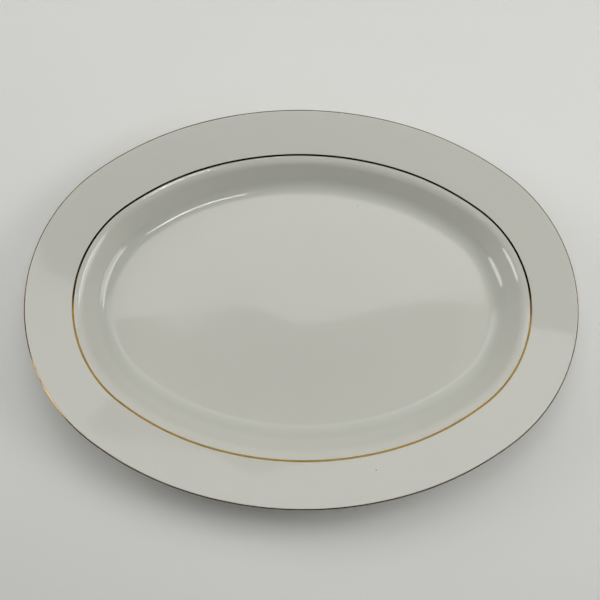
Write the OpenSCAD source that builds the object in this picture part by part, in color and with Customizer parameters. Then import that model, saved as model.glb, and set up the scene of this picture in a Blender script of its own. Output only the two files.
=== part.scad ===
// Oval china serving platter: a sloping rim, a deep flat well and a foot ring.
// Stands on z = 0 with its foot ring, centred on the origin, long axis along X.

/* [Outline] */
// Radius of the two end curves
end_radius = 108.5; // [106:0.5:110]
// Radius of the four shoulder curves, between ends and sides
shoulder_radius = 205; // [200:0.5:210]
// Radius of the two side curves
side_radius = 246; // [240:0.5:252]

/* [Rim] */
// From the outer edge in to the verge, where the rim breaks down into the well
rim_width = 29.5; // [25:0.5:31]
// Fall of the rim from its edge to the verge, in degrees
rim_slope = 11.5; // [8:0.5:14]
// Extra slope of the underside, which thins the rim towards its edge, in degrees
rim_taper = 2.8; // [2:0.2:3.6]
// Radius of the rounded outer edge
edge_radius = 1.4; // [1.2:0.1:1.7]

/* [Well] */
// From the top of the edge down to the floor of the well
well_depth = 24; // [22:0.5:26]
// Slope of the wall between rim and floor, in degrees
wall_slope = 57; // [52:1:60]
// Radius of the roll from rim to wall
verge_radius = 10; // [9:0.5:11]
// Radius of the curve from wall to floor
cavetto_radius = 13.5; // [12.5:0.5:14.5]
// Thickness of the wall
wall_thickness = 4.3; // [3.9:0.1:4.7]
// Thickness of the floor
floor_thickness = 5; // [4.5:0.1:5.5]

/* [Underside] */
// Radius under the verge
back_verge_radius = 10; // [8:0.5:12]
// Radius of the curve from wall to foot
back_cavetto_radius = 18; // [16:0.5:20]
// Slope that this curve has left where the foot starts, in degrees
foot_approach = 20; // [15:1:25]
// Height of the foot ring below the floor's underside
foot_height = 3; // [2.8:0.1:3.6]
// Width of the flat, bare ring that the platter stands on
foot_width = 3.5; // [3:0.1:4.5]
// Slope of the ring's two sides, in degrees
foot_side_slope = 78; // [72:1:82]
// Straight part of the ring's outer side
foot_side_length = 1; // [0.6:0.1:1.4]
// Rounding of the ring's two lower edges
foot_rounding = 1.2; // [0.9:0.1:1.3]
// Fillets where the ring's sides meet the underside
foot_fillet = 2.2; // [1.8:0.1:2.3]

/* [Coats] */
// Thickness of the glaze
glaze_thickness = 0.3; // [0.25:0.05:0.4]
// Thickness of the gilding, which lies flush in the glaze
gilding_thickness = 0.2; // [0.15:0.05:0.2]
// Width of the gold line along the verge
verge_line_width = 1.3; // [0.8:0.1:2]
// How far the gold on the edge goes up its rounding, in degrees
edge_gilt_above = 75; // [60:5:85]
// How far the gold on the edge goes down its rounding, in degrees
edge_gilt_below = 50; // [30:5:65]

/* [Hidden] */

china = "#efece4";
clear_glaze = "#f4f3ec";
gold = "#b8923f";

// ---- Outline ----
// Eight arcs, tangent where they meet. Their centres step along the short sides of a 3-4-5 and
// a 7-24-25 triangle, so the normals at the two handovers are these exact directions.
end_handover = [0.6, 0.8];
side_handover = [0.28, 0.96];
end_step = shoulder_radius - end_radius;
side_step = side_radius - shoulder_radius;
half_length = end_radius + end_step * end_handover.x + side_step * side_handover.x;
half_width = side_radius - end_step * end_handover.y - side_step * side_handover.y;

end_centre = [half_length - end_radius, 0];
shoulder_centre = end_centre - end_step * end_handover;
side_centre = [0, half_width - side_radius];

// Each arc: its centre, its radius, and the normals at its start and its end
OUTLINE = [
    [end_centre, end_radius, flipped(end_handover, 1, -1), end_handover],
    [shoulder_centre, shoulder_radius, end_handover, side_handover],
    [side_centre, side_radius, side_handover, flipped(side_handover, -1, 1)],
    [flipped(shoulder_centre, -1, 1), shoulder_radius,
        flipped(side_handover, -1, 1), flipped(end_handover, -1, 1)],
    [-end_centre, end_radius, flipped(end_handover, -1, 1), -end_handover],
    [-shoulder_centre, shoulder_radius, -end_handover, -side_handover],
    [-side_centre, side_radius, -side_handover, flipped(side_handover, 1, -1)],
    [flipped(shoulder_centre, 1, -1), shoulder_radius,
        flipped(side_handover, 1, -1), flipped(end_handover, 1, -1)],
];

function flipped(v, x, y) = [v.x * x, v.y * y];
function heading_of(v) = atan2(v.y, v.x);
// The angle from one normal to the next, always counterclockwise
function sweep_of(arc) = (heading_of(arc[3]) - heading_of(arc[2]) + 360) % 360;

// Each wedge is cut well outside the platter, and each arc is swept a little past its wedge
wedge_reach = 400;
wedge_height = 60;
spare_angle = 2;

// The arcs are drawn with this many sides to a full turn
$fn = 240;

// Sweeps a section around the oval. The section's x = 0 is the outer edge.
module sweep_round_outline() {
    for (arc = OUTLINE)
        intersection() {
            translate([arc[0].x, arc[0].y, 0])
                rotate_extrude(
                    start = heading_of(arc[2]) - spare_angle,
                    angle = sweep_of(arc) + 2 * spare_angle
                )
                    translate([arc[1], 0])
                        children();
            translate([0, 0, -wedge_height / 2])
                linear_extrude(2 * wedge_height)
                    polygon([arc[0], arc[0] + wedge_reach * arc[2], arc[0] + wedge_reach * arc[3]]);
        }
}

// The section goes in this far from the edge, and a flat slab inside it covers the middle
section_reach = 66;
slab_inset = 64;
slab_step = 10;

// A flat slab with the outline of the well's middle, from height low to height high
module middle_slab(low, high) {
    points = [
        for (arc = OUTLINE)
            let (steps = ceil(sweep_of(arc) / slab_step))
            for (i = [0 : steps - 1])
                arc[0] + (arc[1] - slab_inset) * along(heading_of(arc[2]) + sweep_of(arc) * i / steps)
    ];
    translate([0, 0, low])
        linear_extrude(high - low)
            polygon(points);
}

// ---- Section ----
// A surface of the section is a walk inwards from the tip of the edge, made of runs.
// A run [length, 0] is straight, and a run [radius, turn] is an arc, with left turns positive.
section_step = 10;

function along(heading) = [cos(heading), sin(heading)];

function run_points(start, heading, run) =
    run[1] == 0 ? [start + run[0] * along(heading)] :
    let (
        side = sign(run[1]),
        steps = ceil(abs(run[1]) / section_step),
        centre = start + side * run[0] * along(heading + 90)
    )
    [for (i = [1 : steps]) centre + side * run[0] * along(heading - 90 + run[1] * i / steps)];

function walk(start, heading, runs, i = 0) =
    i == len(runs) ? [] :
    let (points = run_points(start, heading, runs[i]))
    concat(points, walk(points[len(points) - 1], heading + runs[i][1], runs, i + 1));

// The same runs, moved sideways to the left
function moved_left(runs, distance) =
    [for (run = runs) run[1] == 0 ? run : [run[0] - sign(run[1]) * distance, run[1]]];

// A stretch is [start, heading, runs, side]. Side is 1 with the china on the left, -1 on the right.
function stretch_points(stretch, depth) =
    let (
        left = stretch[3] * depth,
        start = stretch[0] + left * along(stretch[1] + 90)
    )
    concat([start], walk(start, stretch[1], moved_left(stretch[2], left)));

// The stretch that goes on from where another ends
function next_stretch(stretch, runs) =
    let (points = walk(stretch[0], stretch[1], stretch[2]))
    [points[len(points) - 1], stretch[1] + total_turn(stretch[2]), runs, stretch[3]];

function total_turn(runs, i = 0) = i == len(runs) ? 0 : runs[i][1] + total_turn(runs, i + 1);
function reversed(points) = [for (i = [len(points) - 1 : -1 : 0]) points[i]];

// How far an arc of a radius goes while its heading turns
function bend(radius, heading, turn) =
    sign(turn) * radius * (along(heading + turn - 90) - along(heading - 90));

overall_height = well_depth + floor_thickness + foot_height;
floor_top = foot_height + floor_thickness;
tip = [0, overall_height - edge_radius];

// Headings on the way in: level is 180
level = 180;
rim_heading = level + rim_slope;
wall_heading = level + wall_slope;
back_rim_heading = rim_heading + rim_taper;
approach_heading = level + foot_approach;
foot_heading = level + foot_side_slope;

// The face. The rim's length puts the verge at rim_width, and the wall's gives the well its depth.
edge_bend = bend(edge_radius, 90, rim_heading - 90);
rim_length = (rim_width + edge_bend.x) / -cos(rim_heading);
verge_start = tip + edge_bend + rim_length * along(rim_heading);
verge_end = verge_start + bend(verge_radius, rim_heading, wall_heading - rim_heading);
cavetto_bend = bend(cavetto_radius, wall_heading, level - wall_heading);
wall_length = (verge_end.y + cavetto_bend.y - floor_top) / -sin(wall_heading);
floor_start = verge_end + wall_length * along(wall_heading) + cavetto_bend;
floor_length = section_reach + floor_start.x;

half_line = verge_line_width / 2;
line_turn = half_line / verge_radius * 180 / PI;

edge_face = [tip, 90, [[edge_radius, edge_gilt_above]], 1];
rim_face = next_stretch(edge_face, [
    [edge_radius, rim_heading - 90 - edge_gilt_above],
    [rim_length - half_line, 0],
]);
verge_line = next_stretch(rim_face, [
    [half_line, 0],
    [verge_radius, line_turn],
]);
well_face = next_stretch(verge_line, [
    [verge_radius, wall_heading - rim_heading - line_turn],
    [wall_length, 0],
    [cavetto_radius, level - wall_heading],
    [floor_length, 0],
]);

// The underside. The rim's length keeps the wall at its thickness, and the wall's reaches z = 0.
into_wall = along(wall_heading + 90);
back_edge_end = tip + bend(edge_radius, 270, back_rim_heading - 270);
back_verge_bend = bend(back_verge_radius, back_rim_heading, wall_heading - back_rim_heading);
back_gap = (verge_end + wall_thickness * into_wall - back_edge_end - back_verge_bend) * into_wall;
back_rim_length = back_gap / (along(back_rim_heading) * into_wall);
back_verge_end = back_edge_end + back_rim_length * along(back_rim_heading) + back_verge_bend;
foot_drop = bend(back_cavetto_radius, wall_heading, approach_heading - wall_heading).y
    + bend(foot_fillet, approach_heading, foot_heading - approach_heading).y
    + foot_side_length * sin(foot_heading)
    + bend(foot_rounding, foot_heading, level - foot_heading).y;
back_wall_length = (back_verge_end.y + foot_drop) / -sin(wall_heading);
foot_inner_length = (foot_height - (foot_rounding + foot_fillet) * (1 - cos(foot_side_slope)))
    / sin(foot_side_slope);

edge_back = [tip, 270, [[edge_radius, -edge_gilt_below]], -1];
rim_and_wall_back = next_stretch(edge_back, [
    [edge_radius, back_rim_heading - 270 + edge_gilt_below],
    [back_rim_length, 0],
    [back_verge_radius, wall_heading - back_rim_heading],
    [back_wall_length, 0],
    [back_cavetto_radius, approach_heading - wall_heading],
    [foot_fillet, foot_heading - approach_heading],
    [foot_side_length, 0],
]);
dry_foot = next_stretch(rim_and_wall_back, [
    [foot_rounding, level - foot_heading],
    [foot_width, 0],
    [foot_rounding, level - foot_heading],
]);
foot_inner_run = [
    [foot_inner_length, 0],
    [foot_fillet, foot_side_slope],
];
foot_inner = next_stretch(dry_foot, foot_inner_run);
underside_length = section_reach + next_stretch(foot_inner, [])[0].x;
underside = next_stretch(dry_foot, concat(foot_inner_run, [[underside_length, 0]]));

// ---- Pieces ----
// The fired china itself: rim, wall, floor and foot ring in one
module china_body() {
    color(china) {
        sweep_round_outline()
            polygon(concat(
                stretch_points(edge_face, glaze_thickness),
                stretch_points(rim_face, glaze_thickness),
                stretch_points(verge_line, glaze_thickness),
                stretch_points(well_face, glaze_thickness),
                reversed(stretch_points(underside, glaze_thickness)),
                reversed(stretch_points(dry_foot, 0)),
                reversed(stretch_points(rim_and_wall_back, glaze_thickness)),
                reversed(stretch_points(edge_back, glaze_thickness))
            ));
        middle_slab(foot_height + glaze_thickness, floor_top - glaze_thickness);
    }
}

// Glaze over the rim and the well, let down under the two gold lines
module face_glaze() {
    color(clear_glaze) {
        sweep_round_outline()
            polygon(concat(
                stretch_points(edge_face, gilding_thickness),
                stretch_points(rim_face, 0),
                stretch_points(verge_line, gilding_thickness),
                stretch_points(well_face, 0),
                reversed(stretch_points(well_face, glaze_thickness)),
                reversed(stretch_points(verge_line, glaze_thickness)),
                reversed(stretch_points(rim_face, glaze_thickness)),
                reversed(stretch_points(edge_face, glaze_thickness))
            ));
        middle_slab(floor_top - glaze_thickness, floor_top);
    }
}

// Glaze from the edge down the outside to the foot ring
module back_glaze() {
    color(clear_glaze)
        sweep_round_outline()
            polygon(concat(
                stretch_points(edge_back, gilding_thickness),
                stretch_points(rim_and_wall_back, 0),
                reversed(stretch_points(rim_and_wall_back, glaze_thickness)),
                reversed(stretch_points(edge_back, glaze_thickness))
            ));
}

// Glaze inside the foot ring
module foot_well_glaze() {
    color(clear_glaze) {
        sweep_round_outline()
            polygon(concat(
                stretch_points(underside, 0),
                reversed(stretch_points(underside, glaze_thickness))
            ));
        middle_slab(foot_height, foot_height + glaze_thickness);
    }
}

// Gold line where the rim breaks down into the well
module verge_gilding() {
    color(gold)
        sweep_round_outline()
            polygon(concat(
                stretch_points(verge_line, 0),
                reversed(stretch_points(verge_line, gilding_thickness))
            ));
}

// Gold line around the outer edge, from its underside over to the rim
module edge_gilding() {
    color(gold)
        sweep_round_outline()
            polygon(concat(
                reversed(stretch_points(edge_back, 0)),
                stretch_points(edge_face, 0),
                reversed(stretch_points(edge_face, gilding_thickness)),
                stretch_points(edge_back, gilding_thickness)
            ));
}

china_body();
face_glaze();
back_glaze();
foot_well_glaze();
verge_gilding();
edge_gilding();
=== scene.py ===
import math

import bpy
from mathutils import Euler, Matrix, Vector


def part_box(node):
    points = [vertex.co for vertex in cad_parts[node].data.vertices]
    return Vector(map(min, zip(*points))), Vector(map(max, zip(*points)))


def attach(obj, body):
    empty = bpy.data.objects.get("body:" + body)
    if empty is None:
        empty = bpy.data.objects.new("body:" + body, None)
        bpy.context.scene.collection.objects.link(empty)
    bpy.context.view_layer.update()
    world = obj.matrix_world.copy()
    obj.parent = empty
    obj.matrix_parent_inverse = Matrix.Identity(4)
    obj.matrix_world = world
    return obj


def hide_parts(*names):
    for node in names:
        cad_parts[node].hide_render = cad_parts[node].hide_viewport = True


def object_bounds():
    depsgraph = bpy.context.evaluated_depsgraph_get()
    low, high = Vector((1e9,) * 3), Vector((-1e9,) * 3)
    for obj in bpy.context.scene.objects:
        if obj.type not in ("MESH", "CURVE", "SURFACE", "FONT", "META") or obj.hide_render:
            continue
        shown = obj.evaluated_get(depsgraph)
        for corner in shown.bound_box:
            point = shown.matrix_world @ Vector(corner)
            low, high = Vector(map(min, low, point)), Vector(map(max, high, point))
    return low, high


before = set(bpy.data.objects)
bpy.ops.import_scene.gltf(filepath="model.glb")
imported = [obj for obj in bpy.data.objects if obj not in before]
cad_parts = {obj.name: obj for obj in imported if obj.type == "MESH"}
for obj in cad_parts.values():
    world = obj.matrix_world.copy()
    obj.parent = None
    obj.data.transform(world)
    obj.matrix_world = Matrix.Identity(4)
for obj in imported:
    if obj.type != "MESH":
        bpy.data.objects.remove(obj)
cadLow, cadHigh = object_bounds()
mm = 0.001

# ---- camera ----
camera = {
    "lens": 44.4,
    "sensor": 36.0,
    "nearest": 0.01,                    # metres; what is closer isn't drawn
    "place": (-17.7, -63.7, 468.5),     # mm from the oval's middle, height counted from the rim
    "turn": (7.92, -1.84, 0.24),        # degrees
}


def makeCamera():
    data = bpy.data.cameras.new("camera")
    data.lens = camera["lens"]
    data.sensor_width = camera["sensor"]
    data.clip_start = camera["nearest"]
    eye = bpy.data.objects.new("camera", data)
    eye.location = Vector(camera["place"]) * mm + Vector((0, 0, cadHigh.z))
    eye.rotation_euler = Euler([math.radians(turn) for turn in camera["turn"]])
    bpy.context.scene.collection.objects.link(eye)
    bpy.context.scene.camera = eye


makeCamera()
print("camera set")


# ---- helpers for node trees ----
def hexColour(code):
    # sRGB hex to linear
    parts = [int(code[i:i + 2], 16) / 255 for i in (1, 3, 5)]
    linear = [c / 12.92 if c <= 0.04045 else ((c + 0.055) / 1.055) ** 2.4 for c in parts]
    return (*linear, 1.0)


def add(tree, kind, links=None, **settings):
    # one new node: its settings, then its inputs, each a value or the output that feeds it
    made = tree.nodes.new(kind)
    for name, value in settings.items():
        setattr(made, name, value)
    for socket, value in (links or {}).items():
        if isinstance(value, bpy.types.NodeSocket):
            tree.links.new(value, made.inputs[socket])
        else:
            made.inputs[socket].default_value = value
    return made


def startMaterial(name):
    material = bpy.data.materials.new(name)
    material.use_nodes = True
    tree = material.node_tree
    place = add(tree, "ShaderNodeTexCoord").outputs["Object"]
    return material, tree, tree.nodes["Principled BSDF"], place


# ---- the section of the platter ----
# Millimetres and degrees, as in the CAD source; what the frame can tell is read from it
platter = {
    "endRadius": 108.5,
    "shoulderRadius": 205.0,
    "sideRadius": 246.0,
    "rimWidth": 29.5,
    "rimSlope": 11.5,
    "rimTaper": 2.8,          # how much steeper the back of the rim is than its face
    "edgeRadius": 1.4,
    "wallSlope": 57.0,
    "vergeRadius": 10.0,
    "cavettoRadius": 13.5,
    "wallThickness": 4.3,
    "backVergeRadius": 10.0,
    "backCavettoRadius": 18.0,
    "footApproach": 20.0,     # slope of the back where it meets the foot
    "footWidth": 3.5,
    "footSideSlope": 78.0,
    "footSideLength": 1.0,
    "footRounding": 1.2,
    "footFillet": 2.2,
    "glaze": 0.3,
    "gilding": 0.2,
    "vergeLine": 1.3,
    "edgeGiltAbove": 75.0,    # how far the gold goes round the edge from its tip, up and down
    "edgeGiltBelow": 50.0,
}
sectionDetail = {
    "reach": 66.0,          # the section goes this far in; past it the rings close on the middle
    "arcStep": 6.0,         # degrees between points on a tight curve
    "arcLength": 0.8,       # mm between points on a wide curve
    "straightLength": 3.0,  # mm between points on a straight
    "closingRings": 12,
}

overallHeight = round(cadHigh.z / mm, 2)
floorTop = round(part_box("face_glaze")[0].z / mm, 2) + platter["glaze"]
footHeight = round(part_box("foot_well_glaze")[1].z / mm, 2) - platter["glaze"]


def along(heading):
    return Vector((math.cos(math.radians(heading)), math.sin(math.radians(heading))))


def bend(radius, heading, turn):
    # how far an arc goes while its heading turns
    return (along(heading + turn - 90) - along(heading - 90)) * math.copysign(radius, turn)


# A surface is a walk inwards from the tip of the edge, at x = 0. A run (length, 0) is straight,
# a run (radius, turn) is an arc, and left turns are positive.
def runPoints(start, heading, run):
    size, turn = run
    if turn == 0:
        steps = max(1, round(size / sectionDetail["straightLength"]))
        return [(start + along(heading) * size * (i + 1) / steps, heading, 0) for i in range(steps)]
    side = math.copysign(1, turn)
    centre = start + along(heading + 90) * size * side
    steps = math.ceil(max(abs(turn) / sectionDetail["arcStep"],
                          math.radians(abs(turn)) * size / sectionDetail["arcLength"]))
    points = []
    for i in range(steps):
        share = (i + 1) / steps
        turned = heading + turn * share
        points.append((centre + along(turned - 90) * size * side, turned,
                       side * math.sin(math.pi * share)))
    return points


def endOf(stretch):
    place, heading = stretch["start"], stretch["heading"]
    for run in stretch["runs"]:
        place, heading, _ = runPoints(place, heading, run)[-1]
    return place, heading


def nextStretch(stretch, runs):
    place, heading = endOf(stretch)
    return {"start": place, "heading": heading, "runs": runs, "side": stretch["side"]}


# Each point is (inset, closing, height, slide inset, slide height, pooling). The slides let the
# edges of a gold line wander, and pooling is where the glaze gathers (+) or runs thin (-).
def stretchPoints(stretch, depth=0.0, slide=(0.0, 0.0)):
    left = stretch["side"] * depth
    heading = stretch["heading"]
    place = stretch["start"] + along(heading + 90) * left
    points = [(place, heading, 0)]
    for size, turn in stretch["runs"]:
        moved = (size, 0) if turn == 0 else (size - left * math.copysign(1, turn), turn)
        points += runPoints(points[-1][0], points[-1][1], moved)
    last = len(points) - 1
    out = []
    for i, (place, heading, curve) in enumerate(points):
        drift = along(heading) * (slide[0] + (slide[1] - slide[0]) * i / last)
        out.append((-place.x, 0.0, place.y, -drift.x, drift.y, -curve * stretch["side"]))
    return out


def toCentre(height):
    rings = sectionDetail["closingRings"]
    return [(sectionDetail["reach"], (i + 1) / rings, height, 0.0, 0.0, 0.0) for i in range(rings)]


level = 180.0
rimHeading = level + platter["rimSlope"]
wallHeading = level + platter["wallSlope"]
backRimHeading = rimHeading + platter["rimTaper"]
approachHeading = level + platter["footApproach"]
footHeading = level + platter["footSideSlope"]
tip = Vector((0.0, overallHeight - platter["edgeRadius"]))

# the face: the verge lies at the rim's width, and the wall gives the well its depth
edgeBend = bend(platter["edgeRadius"], 90, rimHeading - 90)
rimLength = (platter["rimWidth"] + edgeBend.x) / -along(rimHeading).x
vergeEnd = (tip + edgeBend + along(rimHeading) * rimLength
            + bend(platter["vergeRadius"], rimHeading, wallHeading - rimHeading))
cavettoBend = bend(platter["cavettoRadius"], wallHeading, level - wallHeading)
wallLength = (vergeEnd.y + cavettoBend.y - floorTop) / -along(wallHeading).y
floorStart = vergeEnd + along(wallHeading) * wallLength + cavettoBend
halfLine = platter["vergeLine"] / 2
lineTurn = math.degrees(halfLine / platter["vergeRadius"])

edgeFace = {"start": tip, "heading": 90.0, "side": 1,
            "runs": [(platter["edgeRadius"], platter["edgeGiltAbove"])]}
rimFace = nextStretch(edgeFace, [
    (platter["edgeRadius"], rimHeading - 90 - platter["edgeGiltAbove"]),
    (rimLength - halfLine, 0),
])
vergeLine = nextStretch(rimFace, [(halfLine, 0), (platter["vergeRadius"], lineTurn)])
wellFace = nextStretch(vergeLine, [
    (platter["vergeRadius"], wallHeading - rimHeading - lineTurn),
    (wallLength, 0),
    (platter["cavettoRadius"], level - wallHeading),
    (sectionDetail["reach"] + floorStart.x, 0),
])

# the underside: the rim keeps the wall at its thickness, and the wall reaches down to the foot
intoWall = along(wallHeading + 90)
backEdgeEnd = tip + bend(platter["edgeRadius"], 270, backRimHeading - 270)
backVergeBend = bend(platter["backVergeRadius"], backRimHeading, wallHeading - backRimHeading)
backGap = (vergeEnd + intoWall * platter["wallThickness"]
           - backEdgeEnd - backVergeBend).dot(intoWall)
backRimLength = backGap / along(backRimHeading).dot(intoWall)
footDrop = (bend(platter["backCavettoRadius"], wallHeading, approachHeading - wallHeading)
            + bend(platter["footFillet"], approachHeading, footHeading - approachHeading)
            + along(footHeading) * platter["footSideLength"]
            + bend(platter["footRounding"], footHeading, level - footHeading)).y
backWallTop = (backEdgeEnd + along(backRimHeading) * backRimLength + backVergeBend).y
backWallLength = (backWallTop + footDrop) / -along(wallHeading).y
footRise = 1 - math.cos(math.radians(platter["footSideSlope"]))
footInnerLength = ((footHeight - (platter["footRounding"] + platter["footFillet"]) * footRise)
                   / along(platter["footSideSlope"]).y)

edgeBack = {"start": tip, "heading": 270.0, "side": -1,
            "runs": [(platter["edgeRadius"], -platter["edgeGiltBelow"])]}
rimAndWallBack = nextStretch(edgeBack, [
    (platter["edgeRadius"], backRimHeading - 270 + platter["edgeGiltBelow"]),
    (backRimLength, 0),
    (platter["backVergeRadius"], wallHeading - backRimHeading),
    (backWallLength, 0),
    (platter["backCavettoRadius"], approachHeading - wallHeading),
    (platter["footFillet"], footHeading - approachHeading),
    (platter["footSideLength"], 0),
])
dryFoot = nextStretch(rimAndWallBack, [
    (platter["footRounding"], level - footHeading),
    (platter["footWidth"], 0),
    (platter["footRounding"], level - footHeading),
])
footInnerRuns = [(footInnerLength, 0), (platter["footFillet"], platter["footSideSlope"])]
underside = nextStretch(dryFoot, footInnerRuns)
underside["runs"] = footInnerRuns + [(sectionDetail["reach"] + endOf(underside)[0].x, 0)]


# ---- the sweep around the oval ----
sweep = {
    "around": 480,         # directions around the oval
    "warp": 0.012,         # share of a point's height that the warp can take off
    "warpScale": 7.0,      # per metre
    "lineWander": 0.1,     # mm that the edge of a gold line strays
    "wanderScale": 6.0,    # about how often it strays in each radian
    "seed": 4.0,
    "mergeWithin": 0.01,   # mm
    "cornerAngle": 40.0,   # degrees; from there on an edge stays sharp
}
endHandover = (0.6, 0.8)   # the direction in which the end curves pass into the shoulders: 3-4-5
sideHandover = 0.28        # and the X at which the shoulders pass into the sides: 7-24-25


def buildSweepTree():
    tree = bpy.data.node_groups.new("sweepRoundOval", "GeometryNodeTree")
    face = tree.interface
    face.new_socket("Section", in_out="INPUT", socket_type="NodeSocketGeometry")
    face.new_socket("Around", in_out="INPUT", socket_type="NodeSocketInt")
    for name in ("Half Length", "Half Width", "End Radius", "Shoulder Radius", "Side Radius",
                 "Warp", "Warp Scale", "Line Wander", "Seed"):
        face.new_socket(name, in_out="INPUT", socket_type="NodeSocketFloat")
    face.new_socket("Material", in_out="INPUT", socket_type="NodeSocketMaterial")
    face.new_socket("Platter", in_out="OUTPUT", socket_type="NodeSocketGeometry")
    given = add(tree, "NodeGroupInput").outputs

    def maths(operation, a, b=0.0):
        return add(tree, "ShaderNodeMath", {0: a, 1: b}, operation=operation).outputs[0]

    # a grid with one column per direction and one row per point of the section
    rows = add(tree, "GeometryNodeAttributeDomainSize", {"Geometry": given["Section"]},
               component="MESH").outputs["Point Count"]
    columns = maths("ADD", given["Around"], 1.0)
    grid = add(tree, "GeometryNodeMeshGrid", {"Vertices X": columns, "Vertices Y": rows})
    index = add(tree, "GeometryNodeInputIndex").outputs[0]
    row = maths("MODULO", index, rows)
    column = maths("FLOOR", maths("DIVIDE", index, rows))
    angle = maths("MULTIPLY", maths("DIVIDE", column, given["Around"]), 2 * math.pi)
    cosine, sine = maths("COSINE", angle), maths("SINE", angle)
    normal = add(tree, "ShaderNodeCombineXYZ", {0: cosine, 1: sine}).outputs[0]

    # which of the three kinds of arc this direction is on
    onEnd = maths("GREATER_THAN", maths("ABSOLUTE", cosine), endHandover[0])
    onSide = maths("LESS_THAN", maths("ABSOLUTE", cosine), sideHandover)
    endStep = maths("SUBTRACT", given["Shoulder Radius"], given["End Radius"])
    endCentreX = maths("SUBTRACT", given["Half Length"], given["End Radius"])
    endCentre = add(tree, "ShaderNodeCombineXYZ", {0: endCentreX}).outputs[0]
    shoulderCentre = add(tree, "ShaderNodeCombineXYZ", {
        0: maths("SUBTRACT", endCentreX, maths("MULTIPLY", endStep, endHandover[0])),
        1: maths("MULTIPLY", endStep, -endHandover[1]),
    }).outputs[0]
    sideCentre = add(tree, "ShaderNodeCombineXYZ", {
        1: maths("SUBTRACT", given["Half Width"], given["Side Radius"]),
    }).outputs[0]

    def pick(kind, end, shoulder, side):
        notEnd = add(tree, "GeometryNodeSwitch",
                     {"Switch": onSide, "False": shoulder, "True": side},
                     input_type=kind).outputs[0]
        return add(tree, "GeometryNodeSwitch", {"Switch": onEnd, "False": notEnd, "True": end},
                   input_type=kind).outputs[0]

    radius = pick("FLOAT", given["End Radius"], given["Shoulder Radius"], given["Side Radius"])
    centre = pick("VECTOR", endCentre, shoulderCentre, sideCentre)
    quadrant = add(tree, "ShaderNodeCombineXYZ", {0: maths("SIGN", cosine), 1: maths("SIGN", sine)})
    centre = add(tree, "ShaderNodeVectorMath", {0: centre, 1: quadrant.outputs[0]},
                 operation="MULTIPLY").outputs[0]

    # this row's point of the section, with the edge of a gold line wandering a little
    def fromSection(value, kind):
        return add(tree, "GeometryNodeSampleIndex",
                   {"Geometry": given["Section"], "Value": value, "Index": row},
                   data_type=kind).outputs[0]

    position = add(tree, "GeometryNodeInputPosition").outputs[0]
    slide = add(tree, "GeometryNodeInputNamedAttribute", {"Name": "slide"},
                data_type="FLOAT_VECTOR").outputs[0]
    pooling = add(tree, "GeometryNodeInputNamedAttribute", {"Name": "glazePool"},
                  data_type="FLOAT").outputs[0]
    seedOffset = add(tree, "ShaderNodeCombineXYZ", {2: given["Seed"]}).outputs[0]
    wanderPlace = add(tree, "ShaderNodeVectorMath", {0: normal, 1: seedOffset}, operation="ADD")
    wander = add(tree, "ShaderNodeTexNoise", {"Vector": wanderPlace.outputs[0],
                                              "Scale": sweep["wanderScale"],
                                              "Detail": 2.0}).outputs[0]
    wander = maths("MULTIPLY", maths("SUBTRACT", wander, 0.5), given["Line Wander"])
    slid = add(tree, "ShaderNodeVectorMath",
               {0: fromSection(slide, "FLOAT_VECTOR"), "Scale": wander},
               operation="SCALE").outputs[0]
    point = add(tree, "ShaderNodeVectorMath", {0: fromSection(position, "FLOAT_VECTOR"), 1: slid},
                operation="ADD").outputs[0]
    parts = add(tree, "ShaderNodeSeparateXYZ", {0: point}).outputs
    inset, closing, height = parts[0], parts[1], parts[2]

    # out from the arc's centre, then drawn in towards the middle on the closing rings
    reach = maths("SUBTRACT", radius, inset)
    spoke = add(tree, "ShaderNodeVectorMath", {0: normal, "Scale": reach},
                operation="SCALE").outputs[0]
    ring = add(tree, "ShaderNodeVectorMath", {0: centre, 1: spoke}, operation="ADD").outputs[0]
    ring = add(tree, "ShaderNodeVectorMath", {0: ring, "Scale": maths("SUBTRACT", 1.0, closing)},
               operation="SCALE").outputs[0]

    # a fired body is never quite flat: it stands true on its foot and gives way more higher up
    warpPlace = add(tree, "ShaderNodeVectorMath", {0: ring, 1: seedOffset}, operation="ADD")
    warp = add(tree, "ShaderNodeTexNoise", {"Vector": warpPlace.outputs[0],
                                            "Scale": given["Warp Scale"],
                                            "Detail": 1.0}).outputs[0]
    kept = maths("SUBTRACT", 1.0, maths("MULTIPLY", warp, given["Warp"]))
    rise = add(tree, "ShaderNodeCombineXYZ", {2: maths("MULTIPLY", height, kept)}).outputs[0]
    place = add(tree, "ShaderNodeVectorMath", {0: ring, 1: rise}, operation="ADD").outputs[0]
    placed = add(tree, "GeometryNodeSetPosition", {"Geometry": grid.outputs["Mesh"],
                                                   "Position": place})
    pooled = add(tree, "GeometryNodeStoreNamedAttribute",
                 {"Geometry": placed.outputs[0], "Name": "glazePool",
                  "Value": fromSection(pooling, "FLOAT")}, data_type="FLOAT", domain="POINT")
    merged = add(tree, "GeometryNodeMergeByDistance", {"Geometry": pooled.outputs[0],
                                                       "Distance": sweep["mergeWithin"] * mm})

    # the grid comes out of the wrapping inside out, so its faces are turned over
    outward = add(tree, "GeometryNodeFlipFaces", {"Mesh": merged.outputs[0]})

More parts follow.
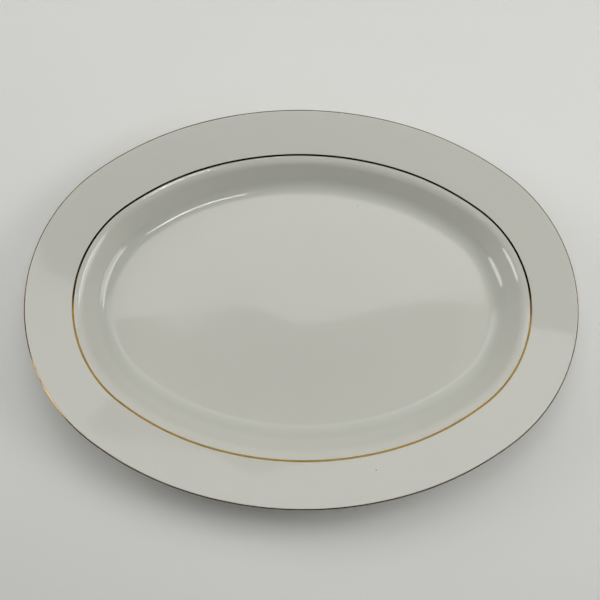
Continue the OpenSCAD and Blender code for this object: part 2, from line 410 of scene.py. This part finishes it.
    # smooth but for true corners
    edgeAngle = add(tree, "GeometryNodeInputMeshEdgeAngle").outputs["Unsigned Angle"]
    smooth = maths("LESS_THAN", edgeAngle, math.radians(sweep["cornerAngle"]))
    allSmooth = add(tree, "GeometryNodeSetShadeSmooth", {"Geometry": outward.outputs[0]},
                    domain="FACE")
    corners = add(tree, "GeometryNodeSetShadeSmooth",
                  {"Geometry": allSmooth.outputs[0], "Shade Smooth": smooth}, domain="EDGE")
    realized = add(tree, "GeometryNodeRealizeInstances", {"Geometry": corners.outputs[0]})
    finished = add(tree, "GeometryNodeSetMaterial", {"Geometry": realized.outputs[0],
                                                     "Material": given["Material"]})
    add(tree, "NodeGroupOutput", {0: finished.outputs[0]})
    return tree


sweepTree = buildSweepTree()


def sweepPiece(name, points, material, closedSection=False):
    # the section as a chain of points, in metres, with what each point carries
    mesh = bpy.data.meshes.new(name)
    if closedSection:
        points = points + points[:1]
    places = [(p[0] * mm, p[1], p[2] * mm) for p in points]
    mesh.from_pydata(places, [(i, i + 1) for i in range(len(places) - 1)], [])
    slide = mesh.attributes.new("slide", "FLOAT_VECTOR", "POINT")
    slide.data.foreach_set("vector", [v for p in points for v in (p[3], 0.0, p[4])])
    pool = mesh.attributes.new("glazePool", "FLOAT", "POINT")
    pool.data.foreach_set("value", [p[5] for p in points])
    piece = bpy.data.objects.new(name, mesh)
    bpy.context.scene.collection.objects.link(piece)

    modifier = piece.modifiers.new("sweep", "NODES")
    modifier.node_group = sweepTree
    values = {
        "Around": sweep["around"],
        "Half Length": cadHigh.x,
        "Half Width": cadHigh.y,
        "End Radius": platter["endRadius"] * mm,
        "Shoulder Radius": platter["shoulderRadius"] * mm,
        "Side Radius": platter["sideRadius"] * mm,
        "Warp": sweep["warp"],
        "Warp Scale": sweep["warpScale"],
        "Line Wander": sweep["lineWander"] * mm,
        "Seed": sweep["seed"],
        "Material": material,
    }
    for item in sweepTree.interface.items_tree:
        if item.in_out == "INPUT" and item.name in values:
            modifier[item.identifier] = values[item.name]

    graph = bpy.context.evaluated_depsgraph_get()
    swept = bpy.data.meshes.new_from_object(piece.evaluated_get(graph),
                                            preserve_all_data_layers=True, depsgraph=graph)
    piece.modifiers.clear()
    piece.data = swept
    bpy.data.meshes.remove(mesh)
    swept.name = name
    print(name, "has", len(swept.polygons), "faces")
    return piece


# ---- materials ----
# Clear glaze over vitrified white china, dipped and fired glossy: a cool white with a wet shine,
# a slow ripple in its reflections and a few iron specks that came up in the fire
glazedChina = {
    "white": "#dbdad1",
    "shade": "#d6d7cc",        # where the body fired a little darker
    "pooled": "#cdcfc3",       # where the glaze lies thick in a hollow
    "thin": "#e1dfd6",         # where it ran thin over an edge
    "pooledShare": 0.55,       # how far the colour goes that way
    "thinShare": 0.6,
    "cloudWidth": 70.0,        # mm
    "roughness": (0.02, 0.06),
    "hazeWidth": 25.0,
    "hazeRange": (0.3, 0.7),
    "ior": 1.52,
    "rippleWidth": 11.0,       # mm from crest to crest
    "rippleDepth": 0.035,
    "swellWidth": 42.0,
    "swellDepth": 0.6,
    "twist": 0.11,             # rise per metre along X for each metre along Y
    "speckSpacing": 9.0,       # mm between places where a speck could be
    "speckRadius": 0.16,
    "speckShare": 0.05,        # of those places that have one
    "speckColour": "#6a6358",
    "ironSpecks": ((45.4, -105.2, 0.45), (37.2, 70.5, 0.34)),   # place on the face and radius, mm
    "ironColour": "#2a241e",
    "ironCore": 0.6,           # share of the radius that is dark through
    "ironStrength": 0.9,
    "facingUp": 0.2,           # Z of the normal above which a point is on the face
}


def makeGlazedChina():
    look = glazedChina
    material, tree, shader, place = startMaterial("glazedChina")

    # body colour: slow changes, then the glaze's own depth
    cloud = add(tree, "ShaderNodeTexNoise", {"Vector": place,
                                             "Scale": 1 / (look["cloudWidth"] * mm),
                                             "Detail": 3.0})
    body = add(tree, "ShaderNodeMix", {0: cloud.outputs[0], 6: hexColour(look["white"]),
                                       7: hexColour(look["shade"])}, data_type="RGBA")
    pool = add(tree, "ShaderNodeAttribute", attribute_name="glazePool").outputs["Fac"]
    thick = add(tree, "ShaderNodeMath", {0: pool, 1: look["pooledShare"]},
                operation="MULTIPLY", use_clamp=True)
    deep = add(tree, "ShaderNodeMix", {0: thick.outputs[0], 6: body.outputs[2],
                                       7: hexColour(look["pooled"])}, data_type="RGBA")
    thinness = add(tree, "ShaderNodeMath", {0: pool, 1: -look["thinShare"]},
                   operation="MULTIPLY", use_clamp=True)
    colour = add(tree, "ShaderNodeMix", {0: thinness.outputs[0], 6: deep.outputs[2],
                                         7: hexColour(look["thin"])}, data_type="RGBA")

    # small specks in the body, at a few of many possible places
    cells = add(tree, "ShaderNodeTexVoronoi", {"Vector": place,
                                               "Scale": 1 / (look["speckSpacing"] * mm)})
    near = add(tree, "ShaderNodeMath",
               {0: cells.outputs["Distance"], 1: look["speckRadius"] / look["speckSpacing"]},
               operation="LESS_THAN")
    draw = add(tree, "ShaderNodeSeparateColor", {0: cells.outputs["Color"]})
    chosen = add(tree, "ShaderNodeMath", {0: draw.outputs[0], 1: look["speckShare"]},
                 operation="LESS_THAN")
    speck = add(tree, "ShaderNodeMath", {0: near.outputs[0], 1: chosen.outputs[0]},
                operation="MULTIPLY")
    colour = add(tree, "ShaderNodeMix", {0: speck.outputs[0], 6: colour.outputs[2],
                                         7: hexColour(look["speckColour"])}, data_type="RGBA")

    # the two larger iron specks, on the face only
    flat = add(tree, "ShaderNodeVectorMath", {0: place, 1: (1.0, 1.0, 0.0)}, operation="MULTIPLY")
    facing = add(tree, "ShaderNodeNewGeometry")
    upward = add(tree, "ShaderNodeSeparateXYZ", {0: facing.outputs["Normal"]})
    onFace = add(tree, "ShaderNodeMath", {0: upward.outputs[2], 1: look["facingUp"]},
                 operation="GREATER_THAN")
    for x, y, radius in look["ironSpecks"]:
        away = add(tree, "ShaderNodeVectorMath", {0: flat.outputs[0], 1: (x * mm, y * mm, 0.0)},
                   operation="DISTANCE")
        spot = add(tree, "ShaderNodeMapRange", {"Value": away.outputs["Value"],
                                                "From Min": radius * mm,
                                                "From Max": radius * look["ironCore"] * mm,
                                                "To Min": 0.0, "To Max": look["ironStrength"]})
        spotOnFace = add(tree, "ShaderNodeMath", {0: spot.outputs[0], 1: onFace.outputs[0]},
                         operation="MULTIPLY")
        colour = add(tree, "ShaderNodeMix", {0: spotOnFace.outputs[0], 6: colour.outputs[2],
                                             7: hexColour(look["ironColour"])}, data_type="RGBA")
    tree.links.new(colour.outputs[2], shader.inputs["Base Color"])

    # shine: nearly even, with a faint haze from washing
    haze = add(tree, "ShaderNodeTexNoise", {"Vector": place, "Scale": 1 / (look["hazeWidth"] * mm),
                                            "Detail": 4.0})
    little, much = look["hazeRange"]
    low, high = look["roughness"]
    sheen = add(tree, "ShaderNodeMapRange", {"Value": haze.outputs[0], "From Min": little,
                                             "From Max": much, "To Min": low, "To Max": high})
    tree.links.new(sheen.outputs[0], shader.inputs["Roughness"])

    # a slow twist from the fire, a long swell from the body and a short ripple from the dip
    ripple = add(tree, "ShaderNodeTexNoise", {"Vector": place,
                                              "Scale": 1 / (look["rippleWidth"] * mm),
                                              "Detail": 1.0})
    swell = add(tree, "ShaderNodeTexNoise", {"Vector": place,
                                             "Scale": 1 / (look["swellWidth"] * mm),
                                             "Detail": 0.0})
    side = add(tree, "ShaderNodeSeparateXYZ", {0: place})
    saddle = add(tree, "ShaderNodeMath", {0: side.outputs[0], 1: side.outputs[1]},
                 operation="MULTIPLY")
    twisted = add(tree, "ShaderNodeBump", {"Height": saddle.outputs[0], "Distance": look["twist"]})
    long = add(tree, "ShaderNodeBump", {"Height": swell.outputs[0],
                                        "Distance": look["swellDepth"] * mm,
                                        "Normal": twisted.outputs[0]})
    short = add(tree, "ShaderNodeBump", {"Height": ripple.outputs[0],
                                         "Distance": look["rippleDepth"] * mm,
                                         "Normal": long.outputs[0]})
    tree.links.new(short.outputs[0], shader.inputs["Normal"])
    shader.inputs["IOR"].default_value = look["ior"]
    return material


# Bare vitrified china, ground level after firing: dry and slightly creamy, with a fine grain that
# has picked up a little grey from standing on shelves
bareChina = {
    "clean": "#ddd7ca",
    "worn": "#b9b3a7",
    "roughness": 0.72,
    "ior": 1.5,
    "grain": 0.35,              # mm
    "grainDepth": 0.02,
    "stainWidth": 14.0,
    "stainRange": (0.42, 0.75),
}


def makeBareChina():
    look = bareChina
    material, tree, shader, place = startMaterial("bareChina")
    stain = add(tree, "ShaderNodeTexNoise", {"Vector": place,
                                             "Scale": 1 / (look["stainWidth"] * mm),
                                             "Detail": 5.0, "Roughness": 0.65})
    little, much = look["stainRange"]
    amount = add(tree, "ShaderNodeMapRange", {"Value": stain.outputs[0], "From Min": little,
                                              "From Max": much})
    colour = add(tree, "ShaderNodeMix", {0: amount.outputs[0], 6: hexColour(look["clean"]),
                                         7: hexColour(look["worn"])}, data_type="RGBA")
    tree.links.new(colour.outputs[2], shader.inputs["Base Color"])
    grain = add(tree, "ShaderNodeTexNoise", {"Vector": place, "Scale": 1 / (look["grain"] * mm),
                                             "Detail": 2.0})
    bump = add(tree, "ShaderNodeBump", {"Height": grain.outputs[0],
                                        "Distance": look["grainDepth"] * mm})
    tree.links.new(bump.outputs[0], shader.inputs["Normal"])
    shader.inputs["Roughness"].default_value = look["roughness"]
    shader.inputs["IOR"].default_value = look["ior"]
    return material


# Bright gold, banded on with a brush and fired over the glaze: a thin warm metal that mirrors the
# room, a touch duller where hands and cloths have rubbed it
brightGold = {
    "gold": "#e6ba60",
    "rubbed": "#cfa85e",
    "roughness": (0.07, 0.16),
    "rubWidth": 16.0,       # mm
    "rubRange": (0.4, 0.65),
    "brushWidth": 0.5,
    "brushDepth": 0.004,
}
# The same gold around the edge, where stacking and washing have worn it thin: darker and duller
wornGold = {
    "gold": "#a5823f",
    "rubbed": "#7d6238",
    "roughness": (0.1, 0.22),
    "rubWidth": 9.0,
    "rubRange": (0.4, 0.65),
    "brushWidth": 0.5,
    "brushDepth": 0.004,
}


def makeGold(name, look):
    material, tree, shader, place = startMaterial(name)
    rub = add(tree, "ShaderNodeTexNoise", {"Vector": place, "Scale": 1 / (look["rubWidth"] * mm),
                                           "Detail": 5.0, "Roughness": 0.6})
    little, much = look["rubRange"]
    rubbed = add(tree, "ShaderNodeMapRange", {"Value": rub.outputs[0], "From Min": little,
                                              "From Max": much})
    colour = add(tree, "ShaderNodeMix", {0: rubbed.outputs[0], 6: hexColour(look["gold"]),
                                         7: hexColour(look["rubbed"])}, data_type="RGBA")
    tree.links.new(colour.outputs[2], shader.inputs["Base Color"])
    low, high = look["roughness"]
    dull = add(tree, "ShaderNodeMapRange", {"Value": rubbed.outputs[0], "To Min": low,
                                            "To Max": high})
    tree.links.new(dull.outputs[0], shader.inputs["Roughness"])
    brush = add(tree, "ShaderNodeTexNoise", {"Vector": place,
                                             "Scale": 1 / (look["brushWidth"] * mm),
                                             "Detail": 2.0})
    bump = add(tree, "ShaderNodeBump", {"Height": brush.outputs[0],
                                        "Distance": look["brushDepth"] * mm})
    tree.links.new(bump.outputs[0], shader.inputs["Normal"])
    shader.inputs["Metallic"].default_value = 1.0
    return material


glazeMaterial = makeGlazedChina()
bareMaterial = makeBareChina()
vergeGold = makeGold("brightGold", brightGold)
edgeGold = makeGold("wornGold", wornGold)
print("materials made")


# ---- the pieces ----
glaze = platter["glaze"]
gilding = platter["gilding"]


def back(points):
    return list(reversed(points))


# from the middle of the well, out over the rim, round the edge and in under the foot to the middle
chinaBody = sweepPiece("chinaBody", (
    back(toCentre(floorTop - glaze))
    + back(stretchPoints(wellFace, glaze))
    + back(stretchPoints(vergeLine, glaze))[1:]
    + back(stretchPoints(rimFace, glaze))[1:]
    + back(stretchPoints(edgeFace, glaze))[1:]
    + stretchPoints(edgeBack, glaze)[1:]
    + stretchPoints(rimAndWallBack, glaze)[1:]
    + stretchPoints(dryFoot)
    + stretchPoints(underside, glaze)
    + toCentre(footHeight + glaze)
), bareMaterial)

faceGlaze = sweepPiece("faceGlaze", (
    back(toCentre(floorTop))
    + back(stretchPoints(wellFace, 0.0, (1, 0)))
    + back(stretchPoints(vergeLine, gilding, (-1, 1)))
    + back(stretchPoints(rimFace, 0.0, (1, -1)))
    + back(stretchPoints(edgeFace, gilding, (0, 1)))
    + stretchPoints(edgeFace, glaze)
    + stretchPoints(rimFace, glaze)[1:]
    + stretchPoints(vergeLine, glaze)[1:]
    + stretchPoints(wellFace, glaze)[1:]
    + toCentre(floorTop - glaze)
), glazeMaterial)

backGlaze = sweepPiece("backGlaze", (
    stretchPoints(edgeBack, gilding, (0, 1))
    + stretchPoints(rimAndWallBack, 0.0, (1, 0))
    + back(stretchPoints(rimAndWallBack, glaze))
    + back(stretchPoints(edgeBack, glaze))[1:]
), glazeMaterial, closedSection=True)

footWellGlaze = sweepPiece("footWellGlaze", (
    back(toCentre(footHeight + glaze))
    + back(stretchPoints(underside, glaze))
    + stretchPoints(underside)
    + toCentre(footHeight)
), glazeMaterial)

vergeGilding = sweepPiece("vergeGilding", (
    back(stretchPoints(vergeLine, 0.0, (-1, 1)))
    + stretchPoints(vergeLine, gilding, (-1, 1))
), vergeGold, closedSection=True)

edgeGilding = sweepPiece("edgeGilding", (
    back(stretchPoints(edgeFace, 0.0, (0, 1)))
    + stretchPoints(edgeBack, 0.0, (0, 1))[1:]
    + back(stretchPoints(edgeBack, gilding, (0, 1)))
    + stretchPoints(edgeFace, gilding, (0, 1))[1:]
), edgeGold, closedSection=True)

for piece, node, slot in (
    (chinaBody, "china_body", "china_body"),
    (faceGlaze, "face_glaze", "glaze"),
    (backGlaze, "back_glaze", "glaze"),
    (footWellGlaze, "foot_well_glaze", "glaze"),
    (vergeGilding, "verge_gilding", "gilding"),
    (edgeGilding, "edge_gilding", "gilding"),
):
    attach(piece, "root")
    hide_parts(node)
print("pieces made")


# ---- floor, light and room ----
stageLook = {
    "floorSize": 4.0,
    "floorColour": "#f8f8f4",
    "driftColour": "#f4f4f0",  # it drifts to this and back
    "driftScale": 3.0,         # per metre
    "floorRoughness": 0.85,
    "floorSpecular": 0.2,
    "fade": (0.35, 1.1),       # metres from the middle
}


def makeFloor():
    half = stageLook["floorSize"] / 2
    mesh = bpy.data.meshes.new("floor")
    mesh.from_pydata([(-half, -half, 0), (half, -half, 0), (half, half, 0), (-half, half, 0)], [],
                     [(0, 1, 2, 3)])
    floor = bpy.data.objects.new("floor", mesh)
    material, tree, shader, place = startMaterial("palePaper")
    drift = add(tree, "ShaderNodeTexNoise", {"Vector": place, "Scale": stageLook["driftScale"],
                                             "Detail": 2.0})
    colour = add(tree, "ShaderNodeMix", {0: drift.outputs[0],
                                         6: hexColour(stageLook["floorColour"]),
                                         7: hexColour(stageLook["driftColour"])}, data_type="RGBA")
    tree.links.new(colour.outputs[2], shader.inputs["Base Color"])
    shader.inputs["Roughness"].default_value = stageLook["floorRoughness"]
    shader.inputs["Specular IOR Level"].default_value = stageLook["floorSpecular"]
    # it thins out into the backdrop, and is open from underneath so that the foot can be seen too
    near, far = stageLook["fade"]
    away = add(tree, "ShaderNodeVectorMath", {0: place}, operation="LENGTH").outputs["Value"]
    faded = add(tree, "ShaderNodeMapRange", {"Value": away, "From Min": near, "From Max": far},
                interpolation_type="SMOOTHSTEP")
    below = add(tree, "ShaderNodeNewGeometry").outputs["Backfacing"]
    gone = add(tree, "ShaderNodeMath", {0: below, 1: faded.outputs[0]}, operation="MAXIMUM")
    clear = add(tree, "ShaderNodeBsdfTransparent")
    either = add(tree, "ShaderNodeMixShader", {0: gone.outputs[0], 1: shader.outputs[0],
                                               2: clear.outputs[0]})
    tree.links.new(either.outputs[0], tree.nodes["Material Output"].inputs["Surface"])
    mesh.materials.append(material)
    bpy.context.scene.collection.objects.link(floor)


room = {
    "bands": (                  # degrees off the zenith towards +Y, and how bright it is there
        (-75.0, 0.03),          # the low wall behind the viewer
        (-50.0, 0.01),          # the ceiling over the viewer
        (7.1, 0.01),
        (8.1, 0.42),            # the far half of the room
        (40.0, 0.42),
        (55.0, 0.08),           # the low wall on the far side
    ),
    "backdrop": "#c8c8c6",      # what the camera sees past the floor
    "backdropStrength": 1.06,
}


def makeRoom():
    world = bpy.data.worlds.new("room")
    bpy.context.scene.world = world
    world.use_nodes = True
    tree = world.node_tree
    background = tree.nodes["Background"]
    out = tree.nodes["World Output"]
    way = add(tree, "ShaderNodeTexCoord").outputs["Generated"]
    parts = add(tree, "ShaderNodeSeparateXYZ", {0: way}).outputs
    tilt = add(tree, "ShaderNodeMath", {0: parts[1], 1: parts[2]}, operation="ARCTAN2")
    share = add(tree, "ShaderNodeMapRange", {"Value": tilt.outputs[0], "From Min": -math.pi / 2,
                                             "From Max": math.pi / 2})
    ramp = add(tree, "ShaderNodeValToRGB", {0: share.outputs[0]})
    stops = ramp.color_ramp.elements
    while len(stops) < len(room["bands"]):
        stops.new(0.5)
    for stop, (degrees, radiance) in zip(stops, room["bands"]):
        stop.position = 0.5 + degrees / 180
        stop.color = (radiance, radiance, radiance, 1)
    tree.links.new(ramp.outputs[0], background.inputs["Color"])
    plain = add(tree, "ShaderNodeBackground", {"Color": hexColour(room["backdrop"]),
                                               "Strength": room["backdropStrength"]})
    seen = add(tree, "ShaderNodeLightPath").outputs["Is Camera Ray"]
    mixed = add(tree, "ShaderNodeMixShader", {0: seen, 1: background.outputs[0],
                                              2: plain.outputs[0]})
    tree.links.new(mixed.outputs[0], out.inputs["Surface"])


allPieces = (chinaBody, faceGlaze, backGlaze, footWellGlaze, vergeGilding, edgeGilding)

# Some lamps only shape what the glaze and the gold mirror ("gloss"), others only light them and
# the floor softly ("soft"). "onto" limits a lamp to some pieces, and "throughFloor" lets it pass
# the floor. Azimuth from +X and elevation are in degrees, distance and size in metres.
lamps = {
    "ceilingPanel": {"azimuth": 90, "elevation": 77.8, "distance": 4.1, "size": (5.0, 0.74),
                     "radiance": 1.0, "part": "gloss", "onto": (faceGlaze, backGlaze)},
    "rightWindow": {"azimuth": -11, "elevation": 45, "distance": 1.6, "size": (1.05, 0.3),
                    "radiance": 5.0, "part": "gloss"},
    "rightGlow": {"azimuth": -13, "elevation": 28, "distance": 1.65, "size": (1.15, 0.8),
                  "radiance": 2.8, "part": "gloss", "shape": "ELLIPSE",
                  "onto": (faceGlaze, backGlaze, vergeGilding)},
    "leftWindow": {"azimuth": 201, "elevation": 16, "distance": 1.6, "size": (0.62, 0.8),
                   "radiance": 5.5, "part": "gloss", "shape": "ELLIPSE"},
    "lampStrip": {"azimuth": -68, "elevation": 69.5, "distance": 3.0, "size": (0.4, 0.13),
                  "radiance": 26.0, "part": "gloss"},
    "overhead": {"azimuth": 90, "elevation": 70, "distance": 0.7, "size": (0.5, 0.3),
                 "radiance": 1.72, "part": "soft"},
    "farSide": {"azimuth": 90, "elevation": 50, "distance": 0.9, "size": (0.5, 0.3),
                "radiance": 1.6, "part": "soft"},
    "rightSide": {"azimuth": 10, "elevation": 42, "distance": 0.9, "size": (0.5, 0.3),
                  "radiance": 4.3, "part": "soft"},
    "leftSide": {"azimuth": 155, "elevation": 30, "distance": 1.05, "size": (0.5, 0.4),
                 "radiance": 3.4, "part": "soft"},
    "nearSide": {"azimuth": 270, "elevation": 50, "distance": 0.9, "size": (0.5, 0.4),
                 "radiance": 0.9, "part": "soft"},
    "nearFill": {"azimuth": 270, "elevation": 40, "distance": 0.9, "size": (0.5, 0.4),
                 "radiance": 0.45, "part": "soft", "onto": allPieces},
    "nearLow": {"azimuth": 270, "elevation": 20, "distance": 0.9, "size": (0.8, 0.3),
                "radiance": 0.3, "part": "soft"},
    "underFoot": {"azimuth": 0, "elevation": -90, "distance": 0.8, "size": (1.2, 1.2),
                  "radiance": 1.0, "part": "soft", "onto": (footWellGlaze, chinaBody),
                  "throughFloor": True},
}


def gather(name, objects):
    group = bpy.data.collections.new(name)
    for member in objects:
        group.objects.link(member)
    return group


def makeLamps():
    for name, lamp in lamps.items():
        data = bpy.data.lights.new(name, "AREA")
        data.shape = lamp.get("shape", "RECTANGLE")
        data.size, data.size_y = lamp["size"]
        area = data.size * data.size_y * (math.pi / 4 if data.shape == "ELLIPSE" else 1)
        data.energy = lamp["radiance"] * math.pi * area
        azimuth, elevation = math.radians(lamp["azimuth"]), math.radians(lamp["elevation"])
        way = Vector((math.cos(azimuth) * math.cos(elevation),
                      math.sin(azimuth) * math.cos(elevation),
                      math.sin(elevation)))
        made = bpy.data.objects.new(name, data)
        made.location = way * lamp["distance"]
        made.rotation_euler = way.to_track_quat("Z", "Y").to_euler()
        made.visible_camera = False
        made.visible_glossy = lamp["part"] == "gloss"
        made.visible_diffuse = lamp["part"] == "soft"
        if "onto" in lamp:
            made.light_linking.receiver_collection = gather(name + "Onto", lamp["onto"])
        if "throughFloor" in lamp:
            made.light_linking.blocker_collection = gather(name + "Blockers", allPieces)
        bpy.context.scene.collection.objects.link(made)


makeFloor()
makeRoom()
makeLamps()
bpy.context.scene.view_settings.view_transform = "Standard"
print("stage set")
